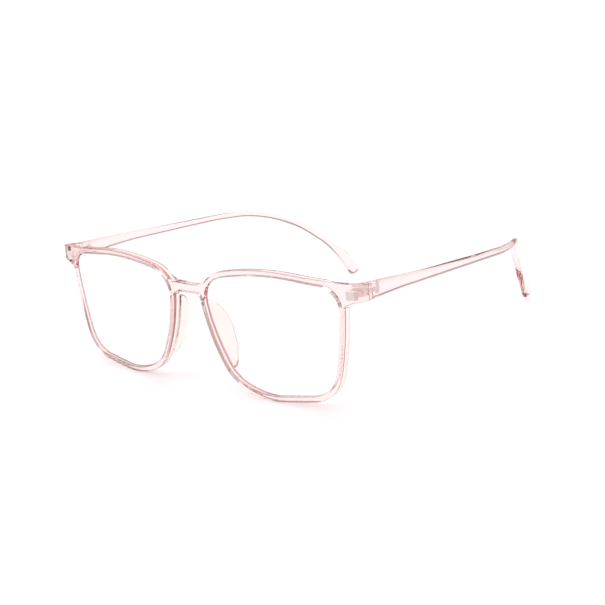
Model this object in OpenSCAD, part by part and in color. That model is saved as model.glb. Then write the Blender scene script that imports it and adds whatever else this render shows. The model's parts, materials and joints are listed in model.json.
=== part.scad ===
// Square clear glasses with plain lenses, standing open on a table.
// The front faces -Y, the temples reach back along +Y, and +Z is up.

/* [Front] */
// Distance from the middle of the bridge to the middle of each lens
eye_x = 36; // [34:0.5:38]
// Radius of the curve that the whole front follows
front_r = 380; // [300:10:600]
// Depth of the front, from its outer face to its back
front_t = 3.2; // [2.8:0.1:4]
// Width of the rim around each lens, seen from the front
rim_w = 2; // [1.8:0.1:2.6]
// Height of the bridge between the rims
bridge_h = 3.4; // [2.4:0.1:5]
// Height of the middle of the bridge above the bottom of the rims
bridge_z = 35.9; // [32:0.1:38]

/* [Lenses] */
// Thickness of each lens
lens_t = 1.8; // [1.2:0.1:2]
// How far the lens edge sits in the rim's groove
groove_d = 0.6; // [0.4:0.1:0.9]

/* [Nose pads] */
// Thickness of each pad's edge
pad_t = 1.8; // [1.4:0.1:2.4]

/* [End pieces and hinges] */
// Distance from the middle of the glasses to each hinge axis
hinge_x = 64.9; // [64.8:0.1:65]
// How far behind the front of the bridge the end pieces stop and the temples begin
split_y = 13; // [12.5:0.5:14.5]
// Height of the middle of the hinge above the bottom of the rims
hinge_z = 39.2; // [38.8:0.1:39.6]
// Outer radius of the hinge knuckles
knuckle_r = 1.35; // [1.1:0.05:1.4]
// Height of the stack of three knuckles
stack_h = 3.2; // [2.8:0.1:3.8]
// Radius of the hinge screw's shank
screw_r = 0.5; // [0.4:0.05:0.6]

/* [Temples] */
// Thickness of the temples along their straight stretch
temple_t = 2.5; // [2:0.1:3]
// Height of the temples along their straight stretch
temple_h = 2.6; // [2.2:0.1:3.4]
// Width of the rounded tip behind the ear
tip_w = 5; // [4:0.1:6]

/* [Hidden] */

// Corners of the rim's outline around the middle of the lens, each with the radius that rounds it
RIM = [[29, 18.9, 9.5], [-5.5, 22.6, 96], [-31.5, 17.2, 10.9], [-27.2, -4.5, 63],
    [-19.6, -18.2, 16.4], [-6.7, -24.3, 29.4], [22.6, -20.6, 13.5], [26.8, -2.8, 127]];
// The back edge of the right nose pad from top to bottom, and where its base meets the rim's back
PAD_EDGE = [[8.3, 4.6, 30.6], [9.4, 8, 26.3], [10.6, 8.9, 21.5], [13.2, 8, 14.5], [15.2, 5.4, 9.6]];
PAD_BASE = [7.1, 8, 9.2, 12.2, 15.1];

eye_z = rim_rise(RIM);
lean = 2.41;
mid_y = 72.4;
drop = 0.06;
end_x = 69.8;
end_h = 5.5;
wall_x = hinge_x + 1.6;
part_gap = 0.1;
fit = 0.03;
run = 0.05;
plate_t = 1.2;
plate_l = 4.5;
mid_h = 1.2;
SILVER = [0.78, 0.78, 0.80];
CRYSTAL = [0.97, 0.80, 0.80, 0.55];
MILKY = [0.98, 0.86, 0.84, 0.75];
CLEAR = [0.97, 0.98, 1, 0.2];
$fn = 48;

// Leans the front forward onto the temples' tips and puts the origin under the middle of the glasses
module placed() {
    translate([0, -mid_y, -drop]) rotate([lean, 0, 0]) children();
}

// Height of the lens middle that puts the lowest point of the rim at zero
function rim_rise(pts) = -min([for (p = rounded(pts)) p.y]);

function unit(v) = v / norm(v);

// The arc that rounds corner p between its neighbours a and b, drawn inset by some distance
function corner(a, p, b, r, inset) =
    r == 0 ? [p] :
    let (u = unit(a - p), v = unit(b - p), half = acos(u * v) / 2,
        c = p + unit(u + v) * r / sin(half), reach = r / tan(half),
        s = p + u * reach - c, e = p + v * reach - c, start = atan2(s.y, s.x),
        turn = (atan2(e.y, e.x) - start + 540) % 360 - 180, n = ceil(abs(turn) / min(6, 200 / r)))
    [for (k = [0:n]) c + (r - inset) * [cos(start + turn * k / n), sin(start + turn * k / n)]];

function flat(p) = [p.x, p.y];

// A closed outline through corners given as [x, y, radius]
function rounded(pts, inset = 0) = let (m = len(pts))
    [for (i = [0:m - 1])
        each corner(flat(pts[(i + m - 1) % m]), flat(pts[i]), flat(pts[(i + 1) % m]), pts[i].z, inset)];

// Draws a flat shape in X and Z and runs it along Y
module along_y(y0, y1) {
    translate([0, y1, 0]) rotate([90, 0, 0]) linear_extrude(y1 - y0) children();
}

// Draws a flat shape in Y and Z and runs it along X
module along_x(x0, x1) {
    translate([x0, 0, 0]) rotate([90, 0, 90]) linear_extrude(x1 - x0) children();
}

// The curved sheet between two depths behind the outer face of the front
module sheet(y0, y1) {
    translate([0, front_r, -5]) difference() {
        cylinder(r = front_r - y0, h = 60, $fn = 720);
        translate([0, 0, -1]) cylinder(r = front_r - y1, h = 62, $fn = 720);
    }
}

module both_sides() {
    children();
    mirror([1, 0, 0]) children();
}

module side(s) {
    if (s == "left") mirror([1, 0, 0]) children();
    else children();
}

module eye_outline(inset) {
    translate([eye_x, eye_z]) polygon(rounded(RIM, inset));
}

module bridge_outline() {
    half = 9;
    top = bridge_z + bridge_h / 2;
    low = bridge_z - bridge_h / 2;
    polygon(rounded([[-half, top + 2.2, 0], [-5.6, top, 3], [5.6, top, 3], [half, top + 2.2, 0],
        [half, low - 4.5, 0], [6.4, low, 4], [-6.4, low, 4], [-half, low - 4.5, 0]]));
}

// Front view of the tab that carries the rim out to the corner
module tab_outline() {
    polygon(rounded([[52, 43.6, 0], [end_x - 0.1, 43.3, 1.4], [end_x - 0.1, 37.2, 1.6],
        [63.2, 34.4, 3], [62.6, 30, 0], [60, 30, 0], [56, 38, 0]]));
}

// Side view of an end piece, from the corner back to the split
module end_profile() {
    polygon([[3, 43.5], [split_y, hinge_z + end_h / 2], [split_y, hinge_z - end_h / 2], [3, 37.3]]);
}

// Plan of an end piece, which turns the corner from the front to the side
module end_plan() {
    polygon(rounded([[62, 4, 0], [end_x, 5, 2.2], [end_x + 0.1, split_y, 0], [wall_x, split_y, 0],
        [wall_x - 0.1, 9.6, 2.4], [62, 8, 0]]));
}

module end_piece() {
    intersection() {
        linear_extrude(60) end_plan();
        along_x(60, 72) end_profile();
        translate([0, front_r, 0]) cylinder(r = front_r, h = 60, $fn = 720);
    }
}

module front_frame() {
    color(CRYSTAL) difference() {
        union() {
            intersection() {
                sheet(0, front_t);
                along_y(-3, 20) union() {
                    both_sides() {
                        eye_outline(0);
                        tab_outline();
                    }
                    bridge_outline();
                }
            }
            both_sides() end_piece();
        }
        both_sides() {
            along_y(-3, 12) eye_outline(rim_w);
            intersection() {
                sheet((front_t - lens_t) / 2 - fit, (front_t + lens_t) / 2 + fit);
                along_y(-3, 12) eye_outline(rim_w - groove_d - fit);
            }
            hinge_anchor(-1);
        }
    }
}

module lens(s) {
    color(CLEAR) side(s) intersection() {
        sheet((front_t - lens_t) / 2, (front_t + lens_t) / 2);
        along_y(-3, 12) eye_outline(rim_w - groove_d);
    }
}

// A saddle pad bonded to the back of the rim beside the nose
module nose_pad(s) {
    color(MILKY) side(s) difference() {
        union() for (i = [0:len(PAD_EDGE) - 2]) hull() for (k = [i, i + 1]) {
            translate(PAD_EDGE[k]) sphere(pad_t / 2, $fn = 24);
            translate([PAD_BASE[k], front_t, PAD_EDGE[k].z]) sphere(pad_t / 2, $fn = 24);
        }
        sheet(-2, front_t);
    }
}

// Side view of a temple: slim straight stretch, bend over the ear, drop that widens to a rounded tip
module temple_profile() {
    h = temple_h / 2;
    w = tip_w / 2;
    y0 = split_y + part_gap;
    polygon(rounded([[y0, hinge_z + end_h / 2, 0], [42, 36.8 + h * 1.4, 90], [72, 33.8 + h * 1.08, 200],
        [114.4, 29.7 + h * 0.95, 46], [133, 13.2 + h * 0.15, 40], [141.4, 2.7 + w * 0.84, 14],
        [143.7 + w * 1.44, -3.3 - w * 0.32, w * 0.94], [143.7 - w * 0.32, -3.3 - w * 1.44, w * 0.94],
        [139.5 - w * 0.84, 3.4 - w * 0.6, 3.5], [135 - h * 0.8, 9 - h * 0.6, 3],
        [131.9 - h * 0.7, 12.6 - h * 0.7, 10], [113.2, 29.7 - h * 0.95, 43],
        [72, 33.8 - h * 1.08, 200], [42, 36.8 - h * 1.4, 90], [y0, hinge_z - end_h / 2, 0]]));
}

// Plan of a temple: it flares out behind the hinge and curves in behind the ear
module temple_plan() {
    t = temple_t;
    y0 = split_y + part_gap;
    polygon(rounded([[end_x + 0.1, y0, 0], [71.9, 40, 120], [71.6, 97.5, 50], [52.5, 125.1, 60],
        [45.9, 139.8, 30], [44.6, 150, 0], [44.6 - t, 149.7, 0], [45.9 - t * 0.97, 139.8 - t * 0.27, 30],
        [52.5 - t * 0.87, 125.1 - t * 0.49, 60], [71.6 - t, 97.5 - t * 0.31, 48],
        [71.9 - t, 46, 120], [wall_x + 0.1, 25, 60], [wall_x, y0, 0]]));
}

module temple(s) {
    color(CRYSTAL) side(s) difference() {
        intersection() {
            along_x(35, 75) temple_profile();
            translate([0, 0, -10]) linear_extrude(70) temple_plan();
        }
        hinge_anchor(1);
    }
}

// The part of a hinge leaf that is set into the plastic: dir 1 is the temple's, -1 the front's
module hinge_anchor(dir) {
    translate([hinge_x, split_y, hinge_z]) {
        if (dir == 1) temple_anchor(stack_h - 0.2);
        else front_anchor(stack_h - 0.2);
    }
}

// A toothed plate that runs back inside the temple's wall
module temple_anchor(h) {
    translate([0.2, 0.35, -mid_h / 2]) cube([2.4, 0.9, mid_h]);
    translate([2.2, 0.35, -h / 2]) cube([plate_t, 1.2, h]);
    translate([2.2, 0.35, -h / 4]) cube([plate_t, plate_l - 0.35, h / 2]);
    translate([2.2, plate_l - 1.3, -h / 2]) cube([plate_t, 1.3, h]);
}

// Two arms that reach forward to a block inside the front
module front_anchor(h) {
    for (z = leaf_levels(-1)) translate([-0.7, -4.9, z[0]]) cube([1.4, 4, z[1] - z[0]]);
    translate([-0.3, -6.4, -h / 2]) cube([3.2, 1.7, h]);
}

// Heights of the knuckles of one leaf: the front has the two outer ones, the temple the middle one
function leaf_levels(dir) = dir == 1
    ? [[-mid_h / 2, mid_h / 2]]
    : [[-stack_h / 2, -mid_h / 2 - run], [mid_h / 2 + run, stack_h / 2]];

module hinge_leaf(s, dir) {
    color(SILVER) side(s) difference() {
        union() {
            hinge_anchor(dir);
            translate([hinge_x, split_y, hinge_z]) for (z = leaf_levels(dir))
                translate([0, 0, z[0]]) cylinder(r = knuckle_r, h = z[1] - z[0]);
        }
        translate([hinge_x, split_y, hinge_z - stack_h])
            cylinder(r = screw_r + run, h = 2 * stack_h);
    }
}

module hinge_screw(s) {
    head_h = 0.5;
    color(SILVER) side(s) translate([hinge_x, split_y, hinge_z]) difference() {
        union() {
            translate([0, 0, -stack_h / 2]) cylinder(r = screw_r, h = stack_h + 0.1);
            translate([0, 0, stack_h / 2]) cylinder(r = knuckle_r - 0.4, h = head_h);
        }
        translate([-2, -0.13, stack_h / 2 + head_h / 2]) cube([4, 0.26, 1]);
    }
}

placed() front_frame();
placed() nose_pad("left");  // nose_pad_left
placed() nose_pad("right");  // nose_pad_right
placed() lens("left");  // lens_left
placed() lens("right");  // lens_right
placed() temple("left");  // temple_left
placed() temple("right");  // temple_right
placed() hinge_leaf("left", -1);  // front_hinge_left
placed() hinge_leaf("right", -1);  // front_hinge_right
placed() hinge_leaf("left", 1);  // temple_hinge_left
placed() hinge_leaf("right", 1);  // temple_hinge_right
placed() hinge_screw("left");  // hinge_screw_left
placed() hinge_screw("right");  // hinge_screw_right
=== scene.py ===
import json
import math

import bmesh
import bpy
import numpy as np
from mathutils import Matrix, Vector


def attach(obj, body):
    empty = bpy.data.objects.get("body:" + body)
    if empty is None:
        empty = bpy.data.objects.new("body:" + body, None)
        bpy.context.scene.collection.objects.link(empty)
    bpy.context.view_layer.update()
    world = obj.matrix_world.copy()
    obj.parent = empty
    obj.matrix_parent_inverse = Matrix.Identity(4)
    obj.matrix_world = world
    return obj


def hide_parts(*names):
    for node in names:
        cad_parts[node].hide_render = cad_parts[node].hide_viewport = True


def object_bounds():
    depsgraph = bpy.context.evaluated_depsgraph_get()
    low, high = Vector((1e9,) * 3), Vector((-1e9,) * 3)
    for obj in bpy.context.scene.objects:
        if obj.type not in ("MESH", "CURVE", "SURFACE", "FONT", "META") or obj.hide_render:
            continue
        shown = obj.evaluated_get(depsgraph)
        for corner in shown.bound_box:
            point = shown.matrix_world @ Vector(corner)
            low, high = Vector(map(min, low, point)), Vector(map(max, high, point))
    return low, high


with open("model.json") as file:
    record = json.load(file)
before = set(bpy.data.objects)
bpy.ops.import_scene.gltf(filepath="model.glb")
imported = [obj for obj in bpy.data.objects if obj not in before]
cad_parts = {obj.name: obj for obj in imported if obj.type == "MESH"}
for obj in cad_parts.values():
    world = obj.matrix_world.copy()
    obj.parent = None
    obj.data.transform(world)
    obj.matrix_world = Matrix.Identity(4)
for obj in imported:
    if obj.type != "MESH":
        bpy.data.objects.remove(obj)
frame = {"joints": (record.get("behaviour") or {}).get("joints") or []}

cad_low, cad_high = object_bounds()
MM = 0.001

# ---------------------------------------------------------------- where the glasses stand

# The shapes below are drawn upright, in millimetres: the bridge's face at y = 0, the rims' bottoms at z = 0.
HINGE = np.array([64.9, 13.0, 39.2])
FOLD = next(j for j in frame["joints"] if j["name"] == "fold_right")
LEAN = math.atan2(-FOLD["axis"][1], FOLD["axis"][2])
TURN = np.array([[1, 0, 0],
                 [0, math.cos(LEAN), -math.sin(LEAN)],
                 [0, math.sin(LEAN), math.cos(LEAN)]])
SHIFT = np.array(FOLD["pos_m"]) / MM - TURN @ HINGE


def stand(points):
    """Moves upright points to where the glasses stand, in metres."""
    return (np.asarray(points) @ TURN.T + SHIFT) * MM


# ---------------------------------------------------------------- sizes, in millimetres

SPLIT_Y = HINGE[1]                         # where the end pieces stop
OUT_X = 69.9                               # the outer side of the end pieces
WALL_X = 66.5                              # the inner side of the end pieces
FRONT_R = 380.0                            # curve of the whole front
DEPTH = 3.2
RIM_W = 2.0
LENS_T = 1.8
EYE = np.array([36.0, 23.46])              # middle of the right lens, in X and Z
BRIDGE_Z = 35.9
BRIDGE_H = 3.4
BRIDGE_SIDE = 8.5                          # how far the bridge reaches into each rim
BRIDGE_END_R = 0.5
BRIDGE_FLARE = 3.0                         # how widely the bridge flares into the rims
EDGE_R = 0.5                               # rounding along the edges of the plastic
SPLIT_R = 0.2                              # rounding where the end pieces stop
END_R = 1.8                                # rounding where the front turns the corner to the end pieces
END_FILLET = 2.4                           # the same corner on the inner side

# The tab that carries each rim out to the corner; behind TAB_Y its top and underside fall
TAB_Y = 3.0
TAB_SIDE = 52.0                            # where the tab starts, inside the rim
TAB_TOP = 43.5
TAB_TOP_FALL = 0.155
TAB_LOW = 37.3
TAB_LOW_FALL = 0.085
TAB_FLARE = 0.42                           # how steeply the underside drops toward the rim
TAB_FLARE_SIDE = OUT_X - 2                 # where that drop starts
TAB_R = 0.6
TAB_BLEND = 1.2                            # fillet between the tab and the rim

# Corners of the rim's outline around the middle of the lens, each with the radius that rounds it
RIM = [(29, 18.9, 9.5), (-5.5, 22.6, 96), (-31.5, 17.2, 10.9), (-27.2, -4.5, 63),
       (-19.6, -18.2, 16.4), (-6.7, -24.3, 29.4), (22.6, -20.6, 13.5), (26.8, -2.8, 127)]

SIDES = {"left": -1, "right": 1}

# ---------------------------------------------------------------- outlines


def arcs_and_edges(corners):
    """The arcs (centre, radius, middle direction, half angle) and straight edges of a closed outline
    that runs anticlockwise."""
    count = len(corners)
    points = np.array([c[:2] for c in corners], float)
    arcs, tangents = [], []
    for i, (_, _, r) in enumerate(corners):
        p = points[i]
        u = points[i - 1] - p
        v = points[(i + 1) % count] - p
        u, v = u / np.linalg.norm(u), v / np.linalg.norm(v)
        half = math.acos(float(np.clip(u @ v, -1, 1))) / 2
        middle = (u + v) / np.linalg.norm(u + v)
        reach = r / math.tan(half)
        arcs.append((p + middle * r / math.sin(half), r, -middle, math.pi / 2 - half))
        tangents.append((p + u * reach, p + v * reach))
    edges = [(tangents[i][1], tangents[(i + 1) % count][0]) for i in range(count)]
    return arcs, edges


def outline_points(corners, inset=0.0, step=0.6):
    """Points round a closed outline, drawn inset by some distance, about step apart."""
    arcs, _ = arcs_and_edges(corners)
    found = []
    for centre, r, middle, half in arcs:
        start = math.atan2(middle[1], middle[0]) - half
        parts = max(2, round(2 * half * r / step))
        for k in range(parts + 1):
            a = start + 2 * half * k / parts
            found.append(centre + (r - inset) * np.array([math.cos(a), math.sin(a)]))
    ring = np.array(found + found[:1])
    along = np.concatenate([[0], np.cumsum(np.linalg.norm(np.diff(ring, axis=0), axis=1))])
    even = np.linspace(0, along[-1], max(8, round(along[-1] / step)) + 1)[:-1]
    return np.stack([np.interp(even, along, ring[:, k]) for k in (0, 1)], axis=1)


def outline_distance(x, y, corners):
    """Signed distance to a closed convex outline with rounded corners, negative inside."""
    arcs, edges = arcs_and_edges(corners)
    best = np.full(x.shape, 1e9)
    for centre, r, middle, half in arcs:
        dx, dy = x - centre[0], y - centre[1]
        far = np.hypot(dx, dy)
        inside = (dx * middle[0] + dy * middle[1]) >= far * math.cos(half) - 1e-9
        d = far - r
        best = np.where(inside & (np.abs(d) < np.abs(best)), d, best)
    for a, b in edges:
        t = (b - a) / np.linalg.norm(b - a)
        along = (x - a[0]) * t[0] + (y - a[1]) * t[1]
        d = (x - a[0]) * t[1] - (y - a[1]) * t[0]
        inside = (along >= 0) & (along <= np.linalg.norm(b - a))
        best = np.where(inside & (np.abs(d) < np.abs(best)), d, best)
    return best


def open_path(corners, step=0.5):
    """Points along an open path through corners given as (x, y, radius)."""
    found = [np.array(corners[0][:2], float)]
    for before, here, after in zip(corners, corners[1:], corners[2:]):
        p = np.array(here[:2], float)
        u = np.array(before[:2]) - p
        v = np.array(after[:2]) - p
        u, v = u / np.linalg.norm(u), v / np.linalg.norm(v)
        half = math.acos(float(np.clip(u @ v, -1, 1))) / 2
        r = here[2]
        centre = p + (u + v) / np.linalg.norm(u + v) * r / math.sin(half)
        start, end = p + u * r / math.tan(half) - centre, p + v * r / math.tan(half) - centre
        a0 = math.atan2(start[1], start[0])
        turn = (math.atan2(end[1], end[0]) - a0 + math.pi) % (2 * math.pi) - math.pi
        parts = max(2, round(abs(turn) * r / step))
        for k in range(parts + 1):
            a = a0 + turn * k / parts
            found.append(centre + r * np.array([math.cos(a), math.sin(a)]))
    found.append(np.array(corners[-1][:2], float))
    return np.array(found)


# ---------------------------------------------------------------- solids by signed distance


def smooth_min(a, b, k):
    """The smaller of two distances, blended over a width k."""
    h = np.clip(0.5 + 0.5 * (b - a) / k, 0, 1)
    return b + (a - b) * h - k * h * (1 - h)


def smooth_max(a, b, k):
    """The larger of two distances, blended over a width k."""
    return -smooth_min(-a, -b, k)


def round_both(a, b, r):
    """Where two solids overlap, with the shared edge rounded to radius r."""
    u, v = np.maximum(a + r, 0), np.maximum(b + r, 0)
    return np.hypot(u, v) + np.minimum(np.maximum(a + r, b + r), 0) - r


def box_distance(x, y, z, low, high, r):
    """Signed distance to a box whose edges are rounded to radius r."""
    middle, half = (np.array(low) + high) / 2, (np.array(high) - low) / 2 - r
    gaps = [np.abs(v - m) - h for v, m, h in zip((x, y, z), middle, half)]
    outside = np.sqrt(sum(np.maximum(g, 0) ** 2 for g in gaps))
    return outside + np.minimum(np.maximum(np.maximum(gaps[0], gaps[1]), gaps[2]), 0) - r


def slope_of(solid, points):
    """The direction in which the distance to a solid grows fastest, at each point."""
    e = 0.01
    shifts = [e * row for row in np.eye(3)]
    return np.stack([(solid(*(points + d).T) - solid(*(points - d).T)) / (2 * e) for d in shifts], axis=1)


def pull(solid, points, furthest):
    """Moves points onto the surface of a solid."""
    for _ in range(3):
        slope = slope_of(solid, points)
        size = np.maximum((slope ** 2).sum(1), 0.25)
        move = np.clip(solid(*points.T) / size, -furthest, furthest)
        points = points - move[:, None] * slope
    return points


RELAX_ROUNDS = 8                           # how often a surface's points are evened out


def cell_crossings(values, shape):
    """For each cell of a grid, how many of its edges the surface crosses and the sum of the crossings."""
    inside = values < 0
    total = np.zeros(shape + (3,))
    hits = np.zeros(shape)
    corners = [(i, j, k) for i in (0, 1) for j in (0, 1) for k in (0, 1)]

    def at(corner, grid):
        return grid[tuple(slice(o, o + n) for o, n in zip(corner, shape))]

    for c in corners:
        for axis in range(3):
            if c[axis]:
                continue
            d = tuple(1 if k == axis else c[k] for k in range(3))
            a, b = at(c, values), at(d, values)
            cross = at(c, inside) != at(d, inside)
            share = np.where(cross, a / np.where(cross, a - b, 1), 0)
            for k in range(3):
                total[..., k] += np.where(cross, c[k] + (share if k == axis else 0), 0)
            hits += cross
    return hits, total


def cell_quads(inside, index):
    """Quads that join the four cells round every grid edge that the surface crosses."""
    quads = []
    for axis in range(3):
        others = [k for k in range(3) if k != axis]
        first = inside[tuple(slice(0, -1) if k == axis else slice(1, -1) for k in range(3))]
        second = inside[tuple(slice(1, None) if k == axis else slice(1, -1) for k in range(3))]
        for flip in (False, True):
            cells = np.argwhere((second & ~first) if flip else (first & ~second))
            for k in others:
                cells[:, k] += 1
            ring = []
            for da, db in ((0, 0), (1, 0), (1, 1), (0, 1)):
                cell = cells.copy()
                cell[:, others[0]] -= da
                cell[:, others[1]] -= db
                ring.append(index[tuple(cell.T)])
            quad = np.stack(ring, axis=1)
            quads.append(quad[:, ::-1] if flip != (axis == 1) else quad)
    return np.concatenate(quads)


def relaxed(solid, points, quads, step):
    """The points spread evenly over the surface, and exactly on it."""
    links = np.concatenate([quads[:, [k, (k + 1) % 4]] for k in range(4)])
    links = np.concatenate([links, links[:, ::-1]])
    degree = np.bincount(links[:, 0], minlength=len(points))[:, None]
    for _ in range(RELAX_ROUNDS):
        points = pull(solid, points, step)
        sums = [np.bincount(links[:, 0], points[links[:, 1], k], len(points)) for k in range(3)]
        points = points + 0.5 * (np.stack(sums, axis=1) / degree - points)
    return pull(solid, points, step)


def surface_net(solid, low, high, step):
    """Points, quads and normals of the surface where solid(x, y, z) is zero."""
    axes = [np.arange(low[k], high[k] + step, step) for k in range(3)]
    values = solid(*np.meshgrid(*axes, indexing="ij"))
    shape = tuple(n - 1 for n in values.shape)
    hits, total = cell_crossings(values, shape)
    used = hits > 0
    index = -np.ones(shape, int)
    index[used] = np.arange(used.sum())
    start = np.array([a[0] for a in axes])
    points = start + (np.argwhere(used) + total[used] / hits[used][:, None]) * step
    quads = cell_quads(values < 0, index)
    points = relaxed(solid, points, quads, step)
    normals = slope_of(solid, points)
    return points, quads, normals / np.linalg.norm(normals, axis=1)[:, None]


# ---------------------------------------------------------------- meshes


def mirror(points, side):
    """Moves points made for the right side to the side asked for."""
    return np.asarray(points) * np.array([SIDES[side], 1, 1])


def tube_faces(rows, count):
    """Quads between each ring of count points and the next."""
    faces = []
    for i in range(rows - 1):
        for k in range(count):
            a, b = i * count + k, i * count + (k + 1) % count
            faces.append((a, b, b + count, a + count))
    return faces


def add_mesh(name, points, faces, material, body, node, normals=None):
    """A piece from upright points, standing for a CAD node and riding on a body."""
    mesh = bpy.data.meshes.new(name)
    mesh.from_pydata(stand(points).tolist(), [], [list(map(int, f)) for f in faces])
    bm = bmesh.new()
    bm.from_mesh(mesh)
    bmesh.ops.recalc_face_normals(bm, faces=bm.faces)
    bm.to_mesh(mesh)
    bm.free()
    mesh.shade_smooth()
    if normals is not None:
        mesh.normals_split_custom_set_from_vertices((normals @ TURN.T).tolist())
    piece = bpy.data.objects.new(name, mesh)
    bpy.context.scene.collection.objects.link(piece)
    mesh.materials.append(material)
    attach(piece, body)
    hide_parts(node)
    return piece


def add_solid(name, solid, low, high, step, side, material, body, node, slot):
    """A piece from a solid drawn for the right side."""
    points, quads, normals = surface_net(solid, np.array(low, float), np.array(high, float), step)
    return add_mesh(name, mirror(points, side), quads, material, body, node, mirror(normals, side))


# ---------------------------------------------------------------- materials

PLASTIC_IOR = 1.49                         # acrylic
LAMP_TINT = (0.97, 0.94, 0.94)             # lamp light that has passed a face of clear plastic


def nodes_of(name):
    """A new material, its node tree and its shader."""
    material = bpy.data.materials.new(name)
    material.use_nodes = True
    tree = material.node_tree
    return material, tree, tree.nodes["Principled BSDF"]


def add_noise(tree, scale, detail):
    """Noise that stays fixed to the piece it is on."""
    noise = tree.nodes.new("ShaderNodeTexNoise")
    noise.inputs["Scale"].default_value = scale
    noise.inputs["Detail"].default_value = detail
    where = tree.nodes.new("ShaderNodeTexCoord")
    tree.links.new(where.outputs["Object"], noise.inputs["Vector"])
    return noise


def add_bump(tree, shader, noise, strength, height):
    """Lets noise roughen the surface, to some height in metres."""
    bump = tree.nodes.new("ShaderNodeBump")
    bump.inputs["Strength"].default_value = strength
    bump.inputs["Distance"].default_value = height
    tree.links.new(noise.outputs["Fac"], bump.inputs["Height"])
    tree.links.new(bump.outputs["Normal"], shader.inputs["Normal"])


def let_lamps_through(tree, shader):
    """Makes a shader cast a pale tinted shadow in place of a solid one."""
    clear = tree.nodes.new("ShaderNodeBsdfTransparent")
    clear.inputs["Color"].default_value = (*LAMP_TINT, 1)
    path = tree.nodes.new("ShaderNodeLightPath")
    choose = tree.nodes.new("ShaderNodeMixShader")
    tree.links.new(path.outputs["Is Shadow Ray"], choose.inputs["Fac"])
    tree.links.new(shader.outputs["BSDF"], choose.inputs[1])
    tree.links.new(clear.outputs["BSDF"], choose.inputs[2])
    tree.links.new(choose.outputs["Shader"], tree.nodes["Material Output"].inputs["Surface"])


def plastic(name, tint, depth_colour, density, rough=0.05):
    """Clear plastic whose tint deepens with its thickness."""
    material, tree, shader = nodes_of(name)
    shader.inputs["Base Color"].default_value = (*tint, 1)
    shader.inputs["Roughness"].default_value = rough
    shader.inputs["IOR"].default_value = PLASTIC_IOR
    shader.inputs["Transmission Weight"].default_value = 1.0
    add_bump(tree, shader, add_noise(tree, 120.0, 2.0), 0.03, 0.0002)
    let_lamps_through(tree, shader)
    absorb = tree.nodes.new("ShaderNodeVolumeAbsorption")
    absorb.inputs["Color"].default_value = (*depth_colour, 1)
    absorb.inputs["Density"].default_value = density
    tree.links.new(absorb.outputs["Volume"], tree.nodes["Material Output"].inputs["Volume"])
    return material


def metal(name, colour, metallic, rough, grain):
    """Satin or turned metal, with fine grain in its roughness and height."""
    material, tree, shader = nodes_of(name)
    shader.inputs["Base Color"].default_value = (*colour, 1)
    shader.inputs["Metallic"].default_value = metallic
    noise = add_noise(tree, grain, 4.0)
    span = tree.nodes.new("ShaderNodeMapRange")
    span.inputs["To Min"].default_value = rough * 0.7
    span.inputs["To Max"].default_value = rough * 1.3
    tree.links.new(noise.outputs["Fac"], span.inputs["Value"])
    tree.links.new(span.outputs["Result"], shader.inputs["Roughness"])
    add_bump(tree, shader, noise, 0.1, 0.00005)
    return material


def shaded_ground_edge(name, colour):
    """The matt ground edge of a lens, seen through the rim, with fine grinding marks; its dark red is
    painted shade.
    """
    material, tree, shader = nodes_of(name)
    noise = add_noise(tree, 700.0, 3.0)
    ramp = tree.nodes.new("ShaderNodeValToRGB")
    ramp.color_ramp.elements[0].color = (*[0.8 * c for c in colour], 1)
    ramp.color_ramp.elements[1].color = (*colour, 1)
    tree.links.new(noise.outputs["Fac"], ramp.inputs["Fac"])
    tree.links.new(ramp.outputs["Color"], shader.inputs["Base Color"])
    shader.inputs["Roughness"].default_value = 0.8
    return material


FRONT_PLASTIC = plastic("front_plastic", (1.0, 0.985, 0.98), (0.98, 0.42, 0.37), 70.0)
TEMPLE_PLASTIC = plastic("temple_plastic", (1.0, 0.985, 0.98), (0.98, 0.42, 0.38), 66.0)
PAD_PLASTIC = plastic("nose_pad_plastic", (0.99, 0.94, 0.91), (0.95, 0.62, 0.52), 55.0, 0.22)
LENS_PLASTIC = plastic("lens_plastic", (1.0, 1.0, 1.0), (0.99, 0.99, 1.0), 1.0, 0.0)
# the lens edges' dark red is painted shade: it stands in for the dark refraction lines along the rims
LENS_EDGE_SHADE = shaded_ground_edge("lens_edge_painted_shade", (0.76, 0.35, 0.34))
HINGE_METAL = metal("hinge_metal", (0.98, 0.97, 0.96), 0.4, 0.45, 900.0)
SCREW_METAL = metal("screw_metal", (0.86, 0.86, 0.87), 1.0, 0.25, 1500.0)

# ---------------------------------------------------------------- front

FRONT_STEP = 0.33                          # mesh step
FRONT_LOW = np.array([-70.5, -0.6, -0.6])  # a box that holds the front
FRONT_HIGH = np.array([70.5, 13.6, 46.5])


def depth_at(x, y):
    """How far a point lies behind the outer face of the front."""
    return FRONT_R - np.hypot(x, y - FRONT_R)


def bow(x):
    """Y of the outer face of the front at some X."""
    return FRONT_R - np.sqrt(FRONT_R ** 2 - np.asarray(x, float) ** 2)


def eye_distance(x, z):
    """Signed distance to the outline of the nearer rim."""
    return outline_distance(np.abs(x) - EYE[0], z - EYE[1], RIM)


def tab_distance(side, y, z):
    """Signed distance to the tab beside a rim."""
    behind = np.maximum(y - TAB_Y, 0)
    top = TAB_TOP - TAB_TOP_FALL * behind
    low = TAB_LOW - TAB_LOW_FALL * behind - TAB_FLARE * np.maximum(TAB_FLARE_SIDE - side, 0)
    return np.maximum(round_both(z - top, low - z, TAB_R), TAB_SIDE - side)


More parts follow.
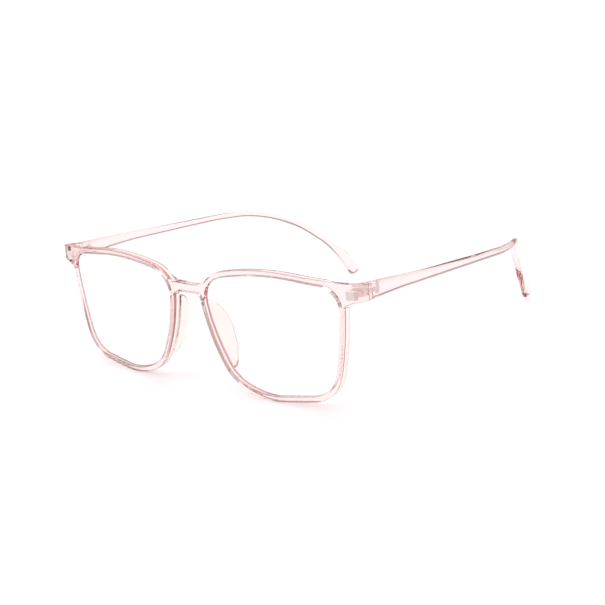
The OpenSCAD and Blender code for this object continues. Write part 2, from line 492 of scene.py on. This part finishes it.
def front_solid(x, y, z):
    """Both rims, the bridge and the end pieces, as one solid."""
    side = np.abs(x)
    depth = depth_at(x, y)
    eye = eye_distance(x, z)
    bridge = smooth_max(np.abs(z - BRIDGE_Z) - BRIDGE_H / 2, side - BRIDGE_SIDE, BRIDGE_END_R)
    face = smooth_min(smooth_min(eye, bridge, BRIDGE_FLARE), tab_distance(side, y, z), TAB_BLEND)
    face = np.maximum(face, -(eye + RIM_W))
    plan = smooth_min(depth - DEPTH, WALL_X - side, END_FILLET)
    plan = np.maximum(round_both(-depth, side - OUT_X, END_R), plan)
    return round_both(round_both(face, plan, EDGE_R), y - SPLIT_Y, SPLIT_R)


def make_front():
    """The whole moulded front, in one piece."""
    points, quads, normals = surface_net(front_solid, FRONT_LOW, FRONT_HIGH, FRONT_STEP)
    add_mesh("crystal_front", points, quads, FRONT_PLASTIC, "front", "front_frame", normals)


# ---------------------------------------------------------------- lenses

LENS_FIT = 0.03                            # gap between a lens and its rim
LENS_BEVEL = 0.15
LENS_STEP = 0.9                            # spacing of the points round a lens

# How far each ring on a face of a lens lies from its middle, as a share of the outline
LENS_SHARES = [0.97, 0.92, 0.84, 0.74, 0.62, 0.5, 0.38, 0.26, 0.14, 0.05]


def lens_layers():
    """The rings of a lens from front to back: share of the outline, inset and depth."""
    front, back = (DEPTH - LENS_T) / 2, (DEPTH + LENS_T) / 2
    layers = [(share, 0.0, front) for share in reversed(LENS_SHARES)]
    layers += [(1.0, LENS_BEVEL, front), (1.0, 0.0, front + LENS_BEVEL)]
    layers += [(1.0, 0.0, back - LENS_BEVEL), (1.0, LENS_BEVEL, back)]
    return layers + [(share, 0.0, back) for share in LENS_SHARES]


def make_lens(side):
    """A curved sheet with a bevelled edge, built from rings that shrink towards its middle."""
    outline = outline_points(RIM, RIM_W + LENS_FIT, LENS_STEP)
    outward = outline / np.linalg.norm(outline, axis=1)[:, None]
    layers = lens_layers()
    count = len(outline)
    points = []
    for share, inset, depth in layers:
        ring = outline * share - outward * inset + EYE
        points.extend(np.stack([ring[:, 0], bow(ring[:, 0]) + depth, ring[:, 1]], axis=1))
    faces = tube_faces(len(layers), count)
    for row in (0, len(layers) - 1):
        tip = len(points)
        points.append(np.array([EYE[0], float(bow(EYE[0])) + layers[row][2], EYE[1]]))
        faces += [(tip, row * count + k, row * count + (k + 1) % count) for k in range(count)]
    piece = add_mesh(f"lens_{side}_sheet", mirror(points, side), faces, LENS_PLASTIC,
                     "front", f"lens_{side}")
    piece.data.materials.append(LENS_EDGE_SHADE)
    # the ring round the lens's edge gets the dark red edge material, which is painted shade
    edge_row = len(LENS_SHARES) + 1
    for face in piece.data.polygons[edge_row * count:(edge_row + 1) * count]:
        face.material_index = 1


# ---------------------------------------------------------------- nose pads

# Down the pad: X of its base on the rim's back, then X, Y behind the face and Z of its outer edge
PAD = [(6.9, 7.6, 4.4, 31.4), (7.1, 8.3, 6.2, 29.8), (7.9, 9.4, 8.3, 26.3), (9.1, 10.6, 9.3, 21.5),
       (11.9, 13.0, 8.4, 14.8), (14.4, 14.9, 5.9, 10.2), (15.4, 15.6, 4.4, 8.9)]
PAD_TOP = 31.5
PAD_BOTTOM = 8.7
PAD_START = 2.6                            # where the plate starts, inside the rim
PAD_REACH = 6.5                            # how far behind that its outer edge lies
PAD_PAST = 0.9                             # how far the plate runs past its outer edge line
PAD_HALF = 0.95                            # half its thickness at the rim
PAD_THINNER = 0.25                         # how much thinner that half is at the outer edge
PAD_SLANT = 1.12                           # longer in X than square to the plate
PAD_CURVE = 1.3                            # above 1, the plate leaves the rim straight and then curves away
PAD_R = 0.7
PAD_GAP = 0.02                             # between a pad and the back of its rim
PAD_STEP = 0.25                            # mesh step
PAD_BOX = ((5.0, 2.0, 7.5), (18.0, 12.0, 33.0))


def pad_solid(x, y, z):
    """A smooth plate from the back of the rim to the pad's outer edge."""
    levels = np.array([p[3] for p in PAD])[::-1]
    base, edge, reach = (np.interp(z, levels, np.array([p[k] for p in PAD])[::-1]) for k in (0, 1, 2))
    share = (y - PAD_START) / PAD_REACH
    centre = base + (edge - base) * np.clip(share, 0, 1.3) ** PAD_CURVE
    plate = np.abs(x - centre) / PAD_SLANT - (PAD_HALF - PAD_THINNER * np.clip(share, 0, 1))
    plate = round_both(plate, y - reach - PAD_PAST, PAD_R)
    plate = round_both(plate, np.maximum(z - PAD_TOP, PAD_BOTTOM - z), PAD_R)
    return np.maximum(plate, DEPTH + PAD_GAP - depth_at(x, y))


def make_pad(side):
    """One nose pad, behind its rim."""
    add_solid(f"pad_{side}", pad_solid, *PAD_BOX, PAD_STEP, side, PAD_PLASTIC,
              "front", f"nose_pad_{side}", "nose_pad_plastic")


# ---------------------------------------------------------------- temples

# The right temple's line seen from above: X, Y behind the front, and the radius of the bend there
PLAN = [(68.2, 13.1, 0), (70.65, 40, 120), (70.35, 97.1, 49), (51.4, 124.5, 60), (44.7, 139.5, 30),
        (43.5, 149, 0)]
# The same line seen from the side: Y, Z and the radius
SWEEP = [(13.1, 39.2, 0), (42, 36.8, 120), (72, 33.8, 250), (113.8, 29.7, 45), (132, 12.5, 40),
         (139.5, 3.4, 20), (145.0, -5.3, 0)]
# Down the temple: distance behind the front, height, thickness
SECTIONS = [(13, 5.5, 3.4), (28, 4.55, 3.0), (42, 3.7, 2.6), (72, 2.85, 2.5), (105, 2.5, 2.5),
            (131, 2.45, 2.5), (135.5, 2.9, 2.5), (138.5, 4.6, 2.6), (141, 5.1, 2.7), (150, 5.1, 2.7)]
AROUND = 32                                # points round a temple's section
PATH_STEP = 0.5                            # spacing of the sections along it
PATH_ROUNDS = 12                           # how often the line is smoothed
TIP_R = 2.5                                # length of the rounded tip
START_R = 0.2                              # rounding of the end that meets the front
SQUARE_RUN = 6.0                           # over this length the section turns square to the front
CORNER_START = 0.45                        # corner radius at the hinge, as a share of a section's half size
CORNER_RUN = 30                            # length over which that share grows by 1, until it is 1
START_SLACK = 0.02                         # keeps the first ring a little open


def temple_path():
    """Points evenly along the centre line of the right temple, and the distances to them."""
    plan, sweep = open_path(PLAN), open_path(SWEEP)
    y = np.linspace(SWEEP[0][0], SWEEP[-1][0], 600)
    x, z = np.interp(y, plan[:, 1], plan[:, 0]), np.interp(y, sweep[:, 0], sweep[:, 1])
    line = np.stack([x, y, z], axis=1)
    for _ in range(PATH_ROUNDS):
        line[1:-1] += 0.5 * ((line[:-2] + line[2:]) / 2 - line[1:-1])
    along = np.concatenate([[0], np.cumsum(np.linalg.norm(np.diff(line, axis=0), axis=1))])
    even = np.arange(0, along[-1], PATH_STEP)
    return np.stack([np.interp(even, along, line[:, k]) for k in range(3)], axis=1), even


def smooth_between(value, knots, column):
    """A value between knots, eased so that it has no corners."""
    width = 31
    places = np.array([k[0] for k in knots], float)
    fine = np.linspace(places[0], places[-1], 1200)
    curve = np.interp(fine, places, np.array([k[column] for k in knots], float))
    padded = np.concatenate([np.full(width // 2, curve[0]), curve, np.full(width // 2, curve[-1])])
    return np.interp(value, fine, np.convolve(padded, np.ones(width) / width, "valid"))


def quarter_circle(share):
    """How far a quarter circle has risen at a share of its radius, and never quite zero."""
    return math.sqrt(max(1 - (1 - min(share, 1)) ** 2, 0.0004))


def section_axes(line, i, along):
    """The directions across and up the section at point i of a line."""
    tangent = line[min(i + 1, len(line) - 1)] - line[max(i - 1, 0)]
    tangent /= np.linalg.norm(tangent)
    ease = min(1.0, along / SQUARE_RUN)
    tangent = tangent * ease + np.array([0, 1.0, 0]) * (1 - ease)
    tangent /= np.linalg.norm(tangent)
    across = np.cross(tangent, [0, 0, 1.0])
    across /= np.linalg.norm(across)
    return across, np.cross(across, tangent)


def section_points(w, h, corner):
    """Points round a rectangle w and h to each side of its middle, with rounded corners."""
    found = []
    for k in range(AROUND):
        a = 2 * math.pi * (k + 0.5) / AROUND
        c, n = math.cos(a), math.sin(a)
        x = math.copysign(max(w - corner, 0), c) + corner * c
        z = math.copysign(max(h - corner, 0), n) + corner * n
        found.append((x, z))
    return found


def make_temple(side):
    """A bar with a rounded section, swept along the temple's centre line."""
    line, along = temple_path()
    heights = smooth_between(line[:, 1], SECTIONS, 1)
    widths = smooth_between(line[:, 1], SECTIONS, 2)
    points = []
    for i, (centre, s) in enumerate(zip(line, along)):
        across, up = section_axes(line, i, s)
        close = quarter_circle((along[-1] - s) / TIP_R)
        shrink = START_R * (1 - quarter_circle((s + START_SLACK) / START_R))
        h = heights[i] / 2 * close - shrink
        w = widths[i] / 2 * close ** 0.5 - shrink
        corner = min(CORNER_START + s / CORNER_RUN, 1.0) * min(h, w)
        points += [centre + across * x + up * z for x, z in section_points(w, h, corner)]
    rows = len(line)
    faces = tube_faces(rows, AROUND)
    faces.append(tuple(range(AROUND)))
    faces.append(tuple((rows - 1) * AROUND + k for k in reversed(range(AROUND))))
    add_mesh(f"arm_{side}", mirror(points, side), faces, TEMPLE_PLASTIC,
             f"{side}_temple", f"temple_{side}")


# ---------------------------------------------------------------- hinges

KNUCKLE_R = 1.35
HOLE_R = 0.55
STACK = 1.6                                # half the height of the three knuckles
MIDDLE = 0.6                               # half the height of the middle one
KNUCKLE_GAP = 0.05
KNUCKLE_EDGE = 0.12
LEAF_FILLET = 0.15                         # where the boxes of a leaf meet
KNUCKLE_FILLET = 0.1
FRONT_LEVELS = [(-STACK, -MIDDLE - KNUCKLE_GAP), (MIDDLE + KNUCKLE_GAP, STACK)]
TEMPLE_LEVELS = [(-MIDDLE, MIDDLE)]

# Each leaf's boxes round the hinge's axis: low corner, high corner and the rounding of the edges.
# The temple's leaf is a plate with a tooth at each end and an arm to the middle knuckle.
TEMPLE_BOXES = [((2.2, 0.35, -1.5), (3.4, 1.55, 1.5), 0.15),
                ((2.2, 0.35, -0.75), (3.4, 4.5, 0.75), 0.12),
                ((2.2, 3.2, -1.5), (3.4, 4.5, 1.5), 0.12),
                ((0.2, 0.35, -MIDDLE), (2.6, 1.25, MIDDLE), 0.12)]
# The front's leaf is a block with two arms to the outer knuckles.
FRONT_BOXES = [((-0.3, -6.4, -1.5), (2.9, -4.7, 1.5), 0.2)]
FRONT_BOXES += [((-0.7, -4.9, low), (0.7, -0.9, high), 0.12) for low, high in FRONT_LEVELS]

# The screw, with heights above the middle of the hinge
SHANK_R = 0.5
SHANK_TOP = 1.7
HEAD_R = 0.95
HEAD_LOW = 1.6
HEAD_TOP = 2.1
DOME_R = 1.55
DOME_Z = 0.6                               # middle of the sphere that domes the head
SLOT_HALF = 0.13
SLOT_FLOOR = 1.85


def leaf_solid(boxes, levels):
    """A hinge leaf: its boxes, and knuckles between pairs of heights."""
    def solid(x, y, z):
        x, y, z = x - HINGE[0], y - HINGE[1], z - HINGE[2]
        far = np.hypot(x, y)
        shape = box_distance(x, y, z, *boxes[0])
        for box in boxes[1:]:
            shape = smooth_min(shape, box_distance(x, y, z, *box), LEAF_FILLET)
        for low, high in levels:
            knuckle = round_both(far - KNUCKLE_R, np.maximum(z - high, low - z), KNUCKLE_EDGE)
            shape = smooth_min(shape, knuckle, KNUCKLE_FILLET)
        return smooth_max(shape, HOLE_R - far, KNUCKLE_FILLET)

    return solid


def screw_solid(x, y, z):
    """The hinge screw: a shank, and a domed head with a slot."""
    x, y, z = x - HINGE[0], y - HINGE[1], z - HINGE[2]
    far = np.hypot(x, y)
    shank = round_both(far - SHANK_R, np.maximum(z - SHANK_TOP, -STACK - z), 0.08)
    dome = np.sqrt(far ** 2 + (z - DOME_Z) ** 2) - DOME_R
    head = round_both(far - HEAD_R, np.maximum(z - HEAD_TOP, HEAD_LOW - z), 0.12)
    slot = np.maximum(np.abs(y) - SLOT_HALF, SLOT_FLOOR - z)
    return smooth_max(smooth_min(shank, smooth_max(head, dome, 0.1), 0.05), -slot, 0.05)


# Node, solid, the box round the hinge's axis that holds it, mesh step, material, body and slot
HINGE_PARTS = [
    ("front_hinge", leaf_solid(FRONT_BOXES, FRONT_LEVELS), (-1.6, -6.6, -1.8), (3.1, 1.6, 1.8), 0.09,
     HINGE_METAL, "front", "hinge_metal"),
    ("temple_hinge", leaf_solid(TEMPLE_BOXES, TEMPLE_LEVELS), (-1.6, -1.6, -1.7), (3.6, 4.7, 1.7), 0.09,
     HINGE_METAL, "{side}_temple", "hinge_metal"),
    ("hinge_screw", screw_solid, (-1.1, -1.1, -1.8), (1.1, 1.1, 2.3), 0.055,
     SCREW_METAL, "front", "screw_metal")]


def make_hinge(side):
    """Both leaves and the screw of one hinge."""
    for node, solid, low, high, step, material, body, slot in HINGE_PARTS:
        add_solid(f"{node}_{side}_metal", solid, HINGE + low, HINGE + high, step, side, material,
                  body.format(side=side), f"{node}_{side}", slot)


make_front()
for side in SIDES:
    make_lens(side)
    make_pad(side)
    make_temple(side)
    make_hinge(side)

# ---------------------------------------------------------------- floor, light and camera

FLOOR_SIZE = 60.0                          # metres, so that its edge is never seen
FLOOR_GAP = 0.00005                        # metres below the CAD box
PAPER_COLOUR = (0.93, 0.93, 0.93)
WALL_COLOUR = (0.43, 0.26, 0.25)
CEILING_COLOUR = (0.60, 0.60, 0.61)
WALL_UP_TO = 0.05                          # share of the sky's height that has the walls' colour
CEILING_FROM = 0.55


def make_floor():
    """A white sheet just under the glasses."""
    bpy.ops.mesh.primitive_plane_add(size=FLOOR_SIZE, location=(0, 0, cad_low[2] - FLOOR_GAP))
    floor = bpy.context.object
    floor.name = "floor"
    material, _, shader = nodes_of("floor_paper")
    shader.inputs["Base Color"].default_value = (*PAPER_COLOUR, 1)
    shader.inputs["Roughness"].default_value = 0.8
    floor.data.materials.append(material)


def make_sun(name, toward, strength, spread):
    """Soft light from the direction given, even over the whole floor."""
    lamp = bpy.data.lights.new(name, "SUN")
    lamp.energy = strength
    lamp.angle = math.radians(spread)
    sun = bpy.data.objects.new(name, lamp)
    sun.rotation_mode = "QUATERNION"
    sun.rotation_quaternion = Vector(toward).to_track_quat("Z", "Y")
    bpy.context.scene.collection.objects.link(sun)


def make_world():
    """A studio that is bright overhead and darker toward its walls."""
    world = bpy.data.worlds.new("studio")
    world.use_nodes = True
    tree = world.node_tree
    where = tree.nodes.new("ShaderNodeTexCoord")
    split = tree.nodes.new("ShaderNodeSeparateXYZ")
    ramp = tree.nodes.new("ShaderNodeValToRGB")
    stops = ((WALL_UP_TO, WALL_COLOUR), (CEILING_FROM, CEILING_COLOUR))
    for element, (position, colour) in zip(ramp.color_ramp.elements, stops):
        element.position = position
        element.color = (*colour, 1)
    tree.links.new(where.outputs["Generated"], split.inputs["Vector"])
    tree.links.new(split.outputs["Z"], ramp.inputs["Fac"])
    tree.links.new(ramp.outputs["Color"], tree.nodes["Background"].inputs["Color"])
    bpy.context.scene.world = world


def make_camera():
    """The photograph's viewpoint: azimuth, elevation and roll about the view, in degrees."""
    azimuth, elevation, roll = 41.34, 15.56, -4.44
    place = Vector((315.3, -373.1, 148.2)) * MM
    a, e = math.radians(azimuth), math.radians(elevation)
    back = Vector((math.sin(a) * math.cos(e), -math.cos(a) * math.cos(e), math.sin(e)))
    right = Vector((math.cos(a), math.sin(a), 0))
    turn = Matrix((right, back.cross(right), back)).transposed().to_4x4()
    optics = bpy.data.cameras.new("camera")
    optics.lens = 78.9
    camera = bpy.data.objects.new("camera", optics)
    camera.matrix_world = Matrix.Translation(place) @ turn @ Matrix.Rotation(math.radians(roll), 4, "Z")
    bpy.context.scene.collection.objects.link(camera)
    bpy.context.scene.camera = camera


make_floor()
make_sun("key", (0.30, -0.50, 0.81), 1.42, 50)
make_sun("fill", (-0.5, 0.2, 0.84), 0.9, 90)
make_world()
bpy.context.scene.view_settings.view_transform = "Standard"
make_camera()
